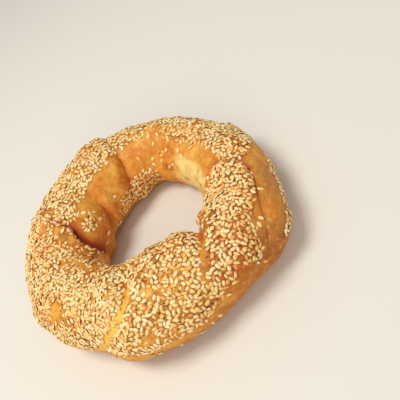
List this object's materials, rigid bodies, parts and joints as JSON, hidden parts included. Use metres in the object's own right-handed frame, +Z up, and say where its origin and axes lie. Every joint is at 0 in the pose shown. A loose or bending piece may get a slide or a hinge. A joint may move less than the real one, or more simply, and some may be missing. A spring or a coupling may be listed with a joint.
{
  "type": "koulouri bread ring",
  "caption": "Koulouri: a ring of twisted, golden-baked bread rope with sesame seeds on its crust, lying flat round an open hole.",
  "frame": {"origin": "on the table under the middle of the ring's box", "axes": "+Z up, across the ring's two faces; +X and +Y in the plane of the ring, with -Y towards the side that the picture shows nearest"},
  "size_m": [0.1639, 0.1626, 0.0484],
  "materials": {
    "crust": "baked golden crust with a soft sheen, and pale sesame seeds"
  },
  "bodies": {
    "root": {"koulouri": "crust"}
  },
  "joints": []
}
